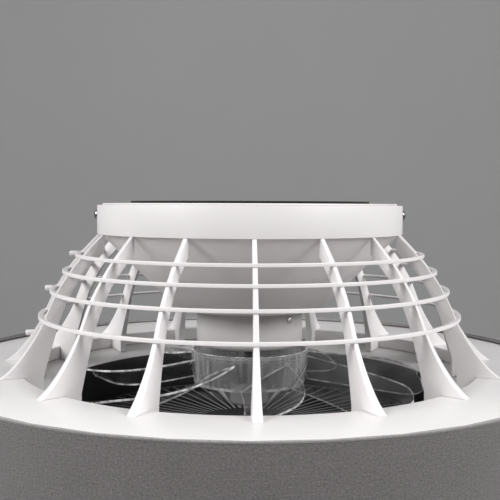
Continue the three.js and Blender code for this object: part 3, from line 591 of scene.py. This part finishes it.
upper_edge = smooth_line([
    (collar_radius, collar_low), *((radius - HOOP_PROUD, height) for radius, height in hoops)
], steps=7)
knee = (waist_radius + 4.5 * MM, collar_high - 100.5 * MM)
toe = (FOOT_RADIUS - 12 * MM, collar_high - 122.5 * MM)
foot_edge = bezier(upper_edge[-1], knee, toe, (FOOT_RADIUS, plate_top), steps=14)
inner_edge = smooth_line([
    (LEG_INNER, plate_top),
    *((radius - HOOP_PROUD - RIB_DEPTH, height) for radius, height in reversed(hoops[1:])),
    (collar_inner, collar_low - RIB_TOP_DROP),
], steps=6)
leg_outer = opening_radius - LEG_GAP
rib_outline = [
    *upper_edge, *foot_edge,
    (leg_outer, plate_top), (leg_outer, rib_low + LEG_CHAMFER), (LEG_INNER, rib_low),
    *inner_edge, (collar_inner, collar_low),
]


def make_rib(azimuth):
    """The outline, a metre thick at first, is drawn in to the rib's thickness at each height."""
    bm = bmesh.new()
    face = bm.faces.new([bm.verts.new((radius, -0.5, height)) for radius, height in rib_outline])
    other = bmesh.ops.extrude_face_region(bm, geom=[face])["geom"]
    far_side = [part for part in other if isinstance(part, bmesh.types.BMVert)]
    bmesh.ops.translate(bm, verts=far_side, vec=(0, 1, 0))
    for vertex in bm.verts:
        slim = min(1, (collar_high - vertex.co.z) / (collar_high - waist_height))
        fall = min(1, max(0, (waist_height - vertex.co.z) / (waist_height - plate_top)))
        flare = fall ** FOOT_FLARE_POWER
        vertex.co.y *= (
            RIB_TOP_THICKNESS + (RIB_WAIST_THICKNESS - RIB_TOP_THICKNESS) * slim
            + (RIB_FOOT_THICKNESS - RIB_WAIST_THICKNESS) * flare
        )
    bmesh.ops.recalc_face_normals(bm, faces=bm.faces)
    soften(bm, RIB_EDGE, 2, angle=60)
    rotate(bm, azimuth - 90)
    return bm


for number in range(RIB_COUNT):
    name = f"rib_{number + 1:02d}"
    rib = make_rib(FIRST_AZIMUTH + number * 360 / RIB_COUNT)
    finish_piece(name, rib, cage_white, "housing", [f"cage_{name}"])
print("ribs:", RIB_COUNT, "with", len(rib_outline), "outline points")

# %% [markdown]
# ## Pegs
# Three short round studs with a soft end stand out at the left end of the cage: two on hoops and one on
# the flare of a rib.

# %% Pegs
PEG_RADIUS = 2.3 * MM
PEG_LENGTH = 5.2 * MM
PEG_ROOT = 2 * MM
PEG_CORNER = 0.8 * MM
RIB_PEG_AZIMUTH = FIRST_AZIMUTH + 12 * 360 / RIB_COUNT
HOOP_PEG_AZIMUTH = RIB_PEG_AZIMUTH + 3.5
LOW_PEG_PLACE = (waist_radius - HOOP_PROUD + 11 * MM, collar_high - 105 * MM)


def make_peg(radius, height, azimuth):
    """A peg that is rooted at radius and height and points outwards."""
    bm = turn([
        (0, -PEG_ROOT), (PEG_RADIUS, -PEG_ROOT), (PEG_RADIUS, PEG_LENGTH), (0, PEG_LENGTH)
    ], steps=24)
    soften(bm, PEG_CORNER, 3)
    rotate(bm, 90, "Y")
    bmesh.ops.translate(bm, verts=bm.verts, vec=(radius, 0, height))
    rotate(bm, azimuth - 90)
    return bm


peg_places = (
    (*hoops[0], HOOP_PEG_AZIMUTH), (*hoops[2], HOOP_PEG_AZIMUTH), (*LOW_PEG_PLACE, RIB_PEG_AZIMUTH)
)
for number, place in enumerate(peg_places, 1):
    finish_piece(f"peg_{number}", make_peg(*place), cage_white, "housing")
print("pegs: 3")

# %% [markdown]
# ## Ceiling plate, gasket and side screws
# The plate keeps its CAD shape with a soft edge: a copy of the CAD mesh has its doubles merged and its
# flat facets joined before the bevel. The foam ring is turned. The side screws get domed heads with a
# cross recess, cut with a boolean because the recess is two crossed slots in a dome.

# %% Ceiling fixing


def softened_copy(name, width):
    """A copy of a CAD node's mesh, merged, with its flat faces joined and its edges bevelled."""
    bm = bmesh.new()
    bm.from_mesh(nodes[name].data)
    bmesh.ops.remove_doubles(bm, verts=bm.verts, dist=1e-6)
    bmesh.ops.dissolve_limit(
        bm, angle_limit=math.radians(1), verts=bm.verts, edges=bm.edges, use_dissolve_boundaries=False
    )
    return soften(bm, width, 1)


fixing_plate = softened_copy("ceiling_plate", 0.2 * MM)
finish_piece("fixing_plate", fixing_plate, cone_paint, "housing", ["ceiling_plate"])
gasket_inner, gasket_outer, gasket_low, gasket_high = shape_size("ceiling_gasket")
gasket = turn([
    (gasket_inner, gasket_low), (gasket_outer, gasket_low), (gasket_outer, gasket_high),
    (gasket_inner, gasket_high),
])
finish_piece("foam_ring", soften(gasket, 0.3 * MM, 2), black_foam, "housing", ["ceiling_gasket"])

SCREW_HEAD_RADIUS = 4.5 * MM
SCREW_HEAD_HEIGHT = 3.0 * MM
SCREW_CROWN = 1.0 * MM
SCREW_SHANK_RADIUS = 2.0 * MM
RECESS_WIDTH = 0.9 * MM
RECESS_LENGTH = 4.4 * MM
RECESS_DEPTH = 1.7 * MM
RECESS_TAPER = 0.45
RECESS_RISE = 0.1 * MM
SCREW_RIM_SHARE = 0.3
SIDE_SCREW_TURN = 20


def make_screw(head_radius, head_height, shank_radius, shank_length):
    """A domed screw along +Z, its head's seat at 0, with a cross recess."""
    rim_height = SCREW_RIM_SHARE * head_height
    dome = arc(0, 0, 1, 0, 90, 8)[:-1]
    bm = turn([
        (0, -shank_length), (shank_radius, -shank_length), (shank_radius, 0), (head_radius, 0),
        *[(across * head_radius, rim_height + up * (head_height - rim_height)) for across, up in dome],
        (0, head_height),
    ], steps=32)
    blank = make_object("screw_blank", bm)
    cross = bmesh.new()
    scale = head_radius / SCREW_HEAD_RADIUS
    for degrees in (0, 90):
        bar = add_bar(cross, (RECESS_LENGTH * scale, RECESS_WIDTH * scale, 2 * RECESS_DEPTH * scale))
        for vertex in bar:
            if vertex.co.z < 0:
                vertex.co.x *= RECESS_TAPER
        rotate(cross, degrees, verts=bar)
    bmesh.ops.translate(cross, verts=cross.verts, vec=(0, 0, head_height + RECESS_RISE))
    tool = make_object("screw_cross", cross)
    cut = blank.modifiers.new("recess", "BOOLEAN")
    cut.operation = "DIFFERENCE"
    cut.solver = "EXACT"
    cut.use_self = True
    cut.object = tool
    bpy.context.view_layer.update()
    done = bmesh.new()
    done.from_object(blank, bpy.context.evaluated_depsgraph_get())
    for spare in (blank, tool):
        mesh = spare.data
        bpy.data.objects.remove(spare)
        bpy.data.meshes.remove(mesh)
    return done


for side, label in ((-1, "left"), (1, "right")):
    cad_name = f"cage_screw_{label}"
    low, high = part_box(cad_name)
    root, reach = sorted((abs(low.x), abs(high.x)))
    seat = reach - SCREW_HEAD_HEIGHT
    head_height = SCREW_HEAD_HEIGHT + SCREW_CROWN
    screw = make_screw(SCREW_HEAD_RADIUS, head_height, SCREW_SHANK_RADIUS, shank_length=seat - root)
    rotate(screw, SIDE_SCREW_TURN * side)
    rotate(screw, 90 * side, "Y")
    bmesh.ops.translate(screw, verts=screw.verts, vec=(side * seat, 0, (low.z + high.z) / 2))
    finish_piece(
        f"side_screw_{label}", screw, bright_screw, "housing", [cad_name], sharp=30
    )
print("ceiling fixing: plate, foam ring, 2 side screws")

# %% [markdown]
# ## Cone and motor cup
# The cone is spun sheet: its slope starts inside the collar, so only a dark line parts the two, and ends
# in a tight corner at its flat bottom. The cup hangs from it, with a large corner radius, and two small
# screws hold the cup on.

# %% Cone and cup
CONE_WALL = 1.2 * MM
CONE_SLOPE_OFFSET = 0.48 * MM
CONE_SHOULDER_DROP = 22.8 * MM
CONE_BOTTOM_RADIUS = 60 * MM
cone_inner, cone_radius, cone_low, cone_high = shape_size("canopy")
cone_shoulder = collar_high - CONE_SHOULDER_DROP
cone = turn([
    (cone_radius, cone_high), (cone_radius, cone_shoulder), (CONE_BOTTOM_RADIUS, cone_low),
    (cone_inner, cone_low), (cone_inner, cone_low + CONE_WALL),
    (CONE_BOTTOM_RADIUS - CONE_SLOPE_OFFSET, cone_low + CONE_WALL),
    (cone_radius - CONE_WALL, cone_shoulder + CONE_SLOPE_OFFSET), (cone_radius - CONE_WALL, cone_high),
])
finish_piece("cone_shell", soften(cone, 0.4 * MM, 3), cone_paint, "housing", ["canopy"])

CUP_WALL = 1.5 * MM
CUP_CORNER = 5 * MM
CUP_SINK = 1.4 * MM
cup_hole, cup_radius, cup_low, cup_high = shape_size("motor_cup")
cup_low -= CUP_SINK
corner_centre = (cup_radius - CUP_CORNER, cup_low + CUP_CORNER)
cup = turn([
    (cup_radius, cup_high), *arc(*corner_centre, CUP_CORNER, 0, -90, 10),
    (cup_hole, cup_low), (cup_hole, cup_low + CUP_WALL),
    *arc(*corner_centre, CUP_CORNER - CUP_WALL, -90, 0, 8), (cup_radius - CUP_WALL, cup_high),
])
soften(cup, 0.3 * MM, 2, angle=40)
finish_piece("cup_shell", cup, cup_paint, "housing", ["motor_cup"])

CUP_SCREW_AZIMUTHS = (46, 226)
CUP_SCREW_DROP = 6.7 * MM
CUP_SCREW_SEAT = 0.1 * MM
for number, azimuth in enumerate(CUP_SCREW_AZIMUTHS, 1):
    screw = make_screw(
        head_radius=2.7 * MM, head_height=1.9 * MM, shank_radius=1.0 * MM, shank_length=2.5 * MM
    )
    rotate(screw, 90, "Y")
    seat = (cup_radius - CUP_SCREW_SEAT, 0, cup_high - CUP_SCREW_DROP)
    bmesh.ops.translate(screw, verts=screw.verts, vec=seat)
    rotate(screw, azimuth - 90)
    finish_piece(f"cup_screw_{number}", screw, chrome_cap, "housing", sharp=30)
print("cone and cup: 2 shells, 2 screws")

# %% [markdown]
# ## Clear rotor
# The hub is a hollow clear drum with a lip, a sleeve and eight inner ribs. Its rims shine like the edges of
# the blades, and both shines are painted with the lighter edge finish. Each blade starts as a grid: one
# direction is the span, the other the chord. Every grid point is carried to its radius, angle and height,
# so the blade is twisted, cambered and swept at once, and the sheet then gets its thickness. The last
# fifth of the span rounds off to the tip, where a little under half of the chord is left.

# %% Rotor
HUB_WALL = 2.2 * MM
HUB_LIP = 3.2 * MM
HUB_TAPER = 2.2 * MM
HUB_EDGE = 1.2 * MM
HUB_CORNER = 2 * MM
SLEEVE_RADIUS = 6 * MM
hub_bore, hub_radius, hub_low, hub_high = shape_size("blade_hub")
hub_foot = hub_radius - HUB_TAPER
foot_inner, lip_inner = hub_foot - HUB_WALL, hub_radius - HUB_WALL
hub_top = hub_high + HUB_LIP
hub = turn([
    (hub_bore, hub_low), (SLEEVE_RADIUS, hub_low), (SLEEVE_RADIUS, hub_high - HUB_WALL),
    (lip_inner, hub_high - HUB_WALL), (foot_inner, hub_low + HUB_WALL), (foot_inner, hub_low),
    (hub_foot - HUB_WALL / 2, hub_low),
    *arc(hub_foot - HUB_CORNER, hub_low + HUB_CORNER, HUB_CORNER, -70, 0, 4),
    (hub_radius, hub_top), (lip_inner, hub_top), (lip_inner, hub_high), (hub_bore, hub_high),
], steps=96)
soften(hub, 0.4 * MM, 2)
# Faces at the top and bottom rims get the lighter edge finish: a painted shine.
for face in hub.faces:
    height = face.calc_center_median().z
    face.material_index = int(not hub_low + HUB_EDGE < height < hub_top - HUB_EDGE)
finish_piece("clear_drum", hub, clear_hub, "rotor", ["blade_hub"], rim=clear_edge_shine)

HUB_RIB_COUNT = 8
HUB_RIB_THICKNESS = 2 * MM
HUB_RIB_RECESS = 1 * MM
HUB_RIB_GAP = 0.2 * MM
hub_ribs = bmesh.new()
rib_length = foot_inner - SLEEVE_RADIUS
rib_height = hub_high - HUB_WALL - hub_low - HUB_RIB_RECESS
rib_sizes = (rib_length - HUB_RIB_GAP, HUB_RIB_THICKNESS, rib_height - HUB_RIB_GAP)
rib_place = (SLEEVE_RADIUS + rib_length / 2, 0, hub_low + HUB_RIB_RECESS + rib_height / 2)
for number in range(HUB_RIB_COUNT):
    add_bar(hub_ribs, rib_sizes, rib_place, (number + 0.5) * 360 / HUB_RIB_COUNT)
finish_piece("hub_ribs", soften(hub_ribs, 0.3 * MM, 2), clear_blade, "rotor")

BLADE_COUNT = 7
BLADE_FIRST_AZIMUTH = 15.6
BLADE_TIP_RADIUS = 147 * MM
BLADE_THICKNESS = 1.6 * MM
ROOT_CHORD, TIP_CHORD = 43 * MM, 59 * MM
ROOT_PITCH, TIP_PITCH = 27.7, 21.5
BLADE_CAMBER = 0.05
BLADE_SWEEP = -19
BLADE_MIDDLE = hub_high - 14.5 * MM
BLADE_TIP_SINK = 13.5 * MM
TIP_CHORD_LEFT = 0.45
ROUNDED_SPAN = 0.2
EDGE_STEEPNESS = 0.7


def make_blade(azimuth):
    """One blade; share runs from 0 at the root to 1 at the tip, along from -0.5 to 0.5 over the chord."""
    bm = bmesh.new()
    bmesh.ops.create_grid(bm, x_segments=30, y_segments=20, size=0.5)
    for vertex in bm.verts:
        share, along = math.sin((vertex.co.x + 0.5) * math.pi / 2), vertex.co.y
        radius = hub_radius + (BLADE_TIP_RADIUS - hub_radius) * share
        chord = ROOT_CHORD + (TIP_CHORD - ROOT_CHORD) * share
        rounding = min(1, max(0, share - 1 + ROUNDED_SPAN) / ROUNDED_SPAN)
        across = along * chord * (1 - (1 - TIP_CHORD_LEFT) * (1 - math.sqrt(1 - rounding ** 2)))
        arch = BLADE_CAMBER * chord * (1 - 4 * along * along)
        pitch = math.radians(ROOT_PITCH + (TIP_PITCH - ROOT_PITCH) * share)
        run = across * math.cos(pitch) - arch * math.sin(pitch)
        rise = across * math.sin(pitch) + arch * math.cos(pitch)
        angle = math.radians(BLADE_SWEEP) * share * share + run / radius + math.radians(azimuth - 90)
        middle = BLADE_MIDDLE - BLADE_TIP_SINK * math.sin(share * math.pi / 2)
        vertex.co = (radius * math.cos(angle), radius * math.sin(angle), middle + rise)
    bmesh.ops.recalc_face_normals(bm, faces=bm.faces)
    bmesh.ops.solidify(bm, geom=bm.faces, thickness=BLADE_THICKNESS)
    bmesh.ops.recalc_face_normals(bm, faces=bm.faces)
    soften(bm, 0.5 * MM, 2, angle=60)
    # Steep faces, the blade's cut edges, get the lighter edge finish: a painted shine.
    for face in bm.faces:
        face.material_index = int(abs(face.normal.z) < EDGE_STEEPNESS)
    return bm


for number in range(BLADE_COUNT):
    name = f"blade_{number + 1}"
    blade = make_blade(BLADE_FIRST_AZIMUTH + number * 360 / BLADE_COUNT)
    finish_piece(
        f"clear_{name}", blade, clear_blade, "rotor", [name], sharp=60, rim=clear_edge_shine
    )

NUT_CORNER = 3 * MM
NUT_THREAD_DEPTH = 10 * MM
NUT_CLEARANCE = 0.3 * MM
nut_radius, nut_low, nut_high = shape_size("blade_nut")[1:]
nut_bore = shape_size("shaft")[1] + NUT_CLEARANCE
thread_end = nut_high - NUT_THREAD_DEPTH
nut = turn([
    (0, nut_low), *arc(nut_radius - NUT_CORNER, nut_low + NUT_CORNER, NUT_CORNER, -90, 0, 6),
    (nut_radius, nut_high), (nut_bore, nut_high), (nut_bore, thread_end), (0, thread_end),
], steps=64)
soften(nut, 0.4 * MM, 2, angle=40)
finish_piece("grey_nut", nut, nut_grey, "rotor", ["blade_nut"])
print("rotor: hub,", BLADE_COUNT, "blades, nut")

# %% [markdown]
# ## Drum
# The white top plate has a wall round its opening, then a sloping ledge that leads the air into the black
# throat. The fabric is one wrap of cloth, with its map in metres for the weave, and a folded hem at each
# edge.

# %% Drum
PLATE_THICKNESS = 2.4 * MM
wall_outer, plate_under = opening_radius + PLATE_THICKNESS, plate_top - PLATE_THICKNESS
plate = turn([
    (opening_radius, plate_top), (opening_radius, wall_low), (wall_outer, wall_low),
    (wall_outer, plate_under), (plate_radius, plate_under), (plate_radius, plate_top),
])
finish_piece("deck", soften(plate, 0.5 * MM, 3), plate_white, "housing", ["top_plate"])

funnel_inner, funnel_outer, funnel_low, funnel_high = shape_size("inlet_funnel")
funnel = turn([
    (funnel_outer, funnel_high), (funnel_outer, funnel_high - PLATE_THICKNESS),
    (funnel_inner, funnel_low), (funnel_inner, funnel_low + PLATE_THICKNESS), (opening_radius, funnel_high),
])
# The ledge's greyer finish is painted shade for the recess of the opening.
finish_piece("ledge", soften(funnel, 0.4 * MM, 2), ledge_painted_shade, "housing", ["inlet_funnel"])

duct_inner, duct_outer, duct_low, duct_high = shape_size("throat_duct")
duct = turn([
    (duct_inner, duct_low), (duct_outer, duct_low), (duct_outer, duct_high), (duct_inner, duct_high)
])
finish_piece("throat", soften(duct, 0.3 * MM, 2), black_satin, "housing", ["throat_duct"])


def wrap_map(piece):
    """Gives a turned piece a UV map in metres: along the circle and up the wall."""
    mesh = piece.data
    layer = mesh.uv_layers.new(name="wrap")
    for face in mesh.polygons:
        centre = math.atan2(face.center.x, -face.center.y)
        for loop in face.loop_indices:
            point = mesh.vertices[mesh.loops[loop].vertex_index].co
            angle = math.atan2(point.x, -point.y)
            angle += 2 * math.pi * round((centre - angle) / (2 * math.pi))
            layer.data[loop].uv = (angle * shade_radius, point.z)


CLOTH_BACK = 0.8 * MM
CLOTH_FACE = 0.2 * MM
CLOTH_TUCK = 0.4 * MM
shade_radius, shade_low, shade_high = shape_size("fabric_shade")[1:]
cloth_inner, cloth_outer = shade_radius - CLOTH_BACK, shade_radius - CLOTH_FACE
cloth_low, cloth_high = shade_low + CLOTH_TUCK, shade_high - CLOTH_TUCK
cloth = turn([
    (cloth_inner, cloth_low), (cloth_outer, cloth_low), (cloth_outer, cloth_high), (cloth_inner, cloth_high)
], steps=FINE_STEPS)
drum_cloth = finish_piece("drum_cloth", cloth, drum_linen, "housing", ["fabric_shade"])
wrap_map(drum_cloth)

HEM_HEIGHT = 1.7 * MM
HEM_THICKNESS = 1.6 * MM
hem_inner = shade_radius - HEM_THICKNESS
for label, low in (("top", shade_high - HEM_HEIGHT), ("bottom", shade_low)):
    high = low + HEM_HEIGHT
    hem = turn([
        (hem_inner, low), (shade_radius, low), (shade_radius, high), (hem_inner, high)
    ], steps=FINE_STEPS)
    band = finish_piece(f"hem_{label}", soften(hem, 0.5 * MM, 3), hem_linen, "housing")
    wrap_map(band)
print("drum: plate, ledge, throat, cloth, 2 hems")

# %% [markdown]
# ## Light ring and lower grille
# Underneath, an opal ring covers the LED board. A white trim holds it, and radial slats close the throat.
# The CAD grille has every second slat. The photograph shows them five degrees apart, so all 72 are made
# here. Their upper faces get a lighter finish than their sides: painted light from above.

# %% Light ring and grille
DIFFUSER_WALL = 2 * MM
DIFFUSER_CROWN = 2.5 * MM
BOW_STEPS = 12
diffuser_inner, diffuser_outer, diffuser_low = shape_size("diffuser")[:3]
diffuser_width = diffuser_outer - diffuser_inner
shares = [step / BOW_STEPS for step in range(BOW_STEPS + 1)]
lower_bow = [
    (diffuser_inner + diffuser_width * share, diffuser_low + DIFFUSER_CROWN * (2 * share - 1) ** 2)
    for share in shares
]
diffuser = turn(lower_bow + [(radius, height + DIFFUSER_WALL) for radius, height in reversed(lower_bow)])
soften(diffuser, 0.4 * MM, 2)
finish_piece("opal_ring", diffuser, opal_white, "housing", ["diffuser"])

TRIM_CHAMFER = 1.4 * MM
trim_inner, trim_outer, trim_low, trim_high = shape_size("bottom_trim")
trim = turn([
    (trim_inner, trim_low + TRIM_CHAMFER), (trim_inner + TRIM_CHAMFER, trim_low), (trim_outer, trim_low),
    (trim_outer, trim_high), (trim_inner, trim_high),
])
finish_piece("trim_ring", soften(trim, 0.3 * MM, 2), plate_white, "housing", ["bottom_trim"])

GRILLE_HUB_RADIUS = 46 * MM
GRILLE_RIM = 3 * MM
grille_outer, grille_low, grille_high = shape_size("bottom_grille")[1:]
grille_inner = grille_outer - GRILLE_RIM
grille = turn([
    (grille_inner, grille_low), (grille_outer, grille_low), (grille_outer, grille_high),
    (grille_inner, grille_high),
])
soften(grille, 0.4 * MM, 2)
finish_piece("grille_rim", grille, grille_black, "housing", ["bottom_grille"])
boss = turn([
    (0, grille_low), (GRILLE_HUB_RADIUS, grille_low), (GRILLE_HUB_RADIUS, grille_high), (0, grille_high)
], steps=64)
finish_piece("grille_boss", soften(boss, 0.8 * MM, 3), grille_black, "housing")

SLAT_COUNT = 72
SLAT_THICKNESS = 2.2 * MM
SLAT_OVERLAP = 1 * MM
SLAT_SHORTFALL = 1 * MM
SLAT_TOP_SLOPE = 0.5
slats = bmesh.new()
slat_length = grille_inner - GRILLE_HUB_RADIUS + 2 * SLAT_OVERLAP
slat_sizes = (slat_length, SLAT_THICKNESS, grille_high - grille_low - SLAT_SHORTFALL)
slat_place = ((grille_inner + GRILLE_HUB_RADIUS) / 2, 0, (grille_low + grille_high) / 2)
for number in range(SLAT_COUNT):
    add_bar(slats, slat_sizes, slat_place, number * 360 / SLAT_COUNT)
soften(slats, 0.35 * MM, 2)
# Upward faces get the lighter finish: painted light from above.
for face in slats.faces:
    face.material_index = int(face.normal.z > SLAT_TOP_SLOPE)
finish_piece("grille_slats", slats, grille_black, "housing", rim=grille_painted_top_light)
print("light ring and grille: 5 pieces")

# %% [markdown]
# ## Inner pieces
# What sits inside the cone, the motor and the drum keeps its CAD mesh, with a finish of its own.

# %% Finishes of the inner CAD pieces
inner_finishes = {
    box_white: ("fan_receiver", "led_driver", "terminal_block"),
    motor_steel: ("motor_boss", "upper_bearing", "lower_bearing", "stator_core", "rotor_bell", "shaft"),
    copper_wire: ("stator_windings",),
    dark_magnet: ("magnet_ring",),
    hem_linen: ("shade_hoop_top", "shade_hoop_bottom"),
    cone_paint: ("led_tray",),
    led_board_white: ("led_board",),
}
for material, names in inner_finishes.items():
    for name in names:
        nodes[name].data.materials.clear()
        nodes[name].data.materials.append(material)
        if material is hem_linen:
            wrap_map(nodes[name])
print("inner pieces:", sum(len(names) for names in inner_finishes.values()))

# %% [markdown]
# ## Studio
# A photographer would hang the fan in front of a wide paper sweep. Here a closed drum of plain pale grey
# with round corners stands round the whole set, so every view has the same calm ground, also the one from
# below. Two tall soft boxes stand in front of the fan, left and right and above it, two more at its
# sides, and a weak one hangs behind it. So the light falls softly from above on both sides. The last one
# faces away from the fan and washes the upper part of the sweep behind it.

# %% Floor, lights and world
FLOOR_DROP = 2.3
BOWL_RADIUS = 3.6
BOWL_CORNER = 0.8
BOWL_TOP = 2.2
wall_line = [
    (0, -FLOOR_DROP),
    *arc(BOWL_RADIUS - BOWL_CORNER, -FLOOR_DROP + BOWL_CORNER, BOWL_CORNER, -90, 0, 12),
    *arc(BOWL_RADIUS - BOWL_CORNER, BOWL_TOP - BOWL_CORNER, BOWL_CORNER, 0, 90, 12),
    (0, BOWL_TOP),
]
paper = Finish("sweep_paper")
paper_cloud = paper.noise(paper.place(), scale=1.2, detail=2)
paper.feed("Base Color", paper.blend(paper_cloud, grey(0.57), grey(0.61)))
paper.feed("Roughness", paper_cloud * 0.1 + 0.85)
sweep = make_object("sweep", turn(wall_line, steps=96, closed=False), paper.material)


def soft_box(name, place, aim, size, power):
    """A rectangular area light at place that faces aim; power is in watts."""
    light = bpy.data.lights.new(name, "AREA")
    light.shape = "RECTANGLE"
    light.size, light.size_y = size
    light.energy = power
    lamp = bpy.data.objects.new(name, light)
    lamp.location = place
    lamp.rotation_euler = (Vector(aim) - Vector(place)).to_track_quat("-Z", "Y").to_euler()
    bpy.context.scene.collection.objects.link(lamp)


FAN_MIDDLE = (0, 0, -0.1)
TALL_BOX = (0.7, 1.0)
for side in (-1, 1):
    soft_box(f"front_box_{side}", place=(side * 1.3, -1.0, 0.9), aim=FAN_MIDDLE, size=TALL_BOX, power=23)
    soft_box(f"side_box_{side}", place=(side * 1.7, -0.3, 0.8), aim=FAN_MIDDLE, size=TALL_BOX, power=10.5)
soft_box("back_box", place=(0, 1.0, 1.4), aim=FAN_MIDDLE, size=(1.2, 0.8), power=2)
soft_box("wall_box", place=(0, 1.4, 1.6), aim=(0, BOWL_RADIUS, 1.5), size=(1.6, 0.4), power=5)

AIR_STRENGTH = 0.03
world = bpy.data.worlds.new("studio_air")
world.use_nodes = True
air = world.node_tree.nodes["Background"]
air.inputs["Color"].default_value = (1, 1, 1, 1)
air.inputs["Strength"].default_value = AIR_STRENGTH
bpy.context.scene.world = world
bpy.context.scene.view_settings.view_transform = "Standard"
print("studio: sweep, 6 soft boxes")
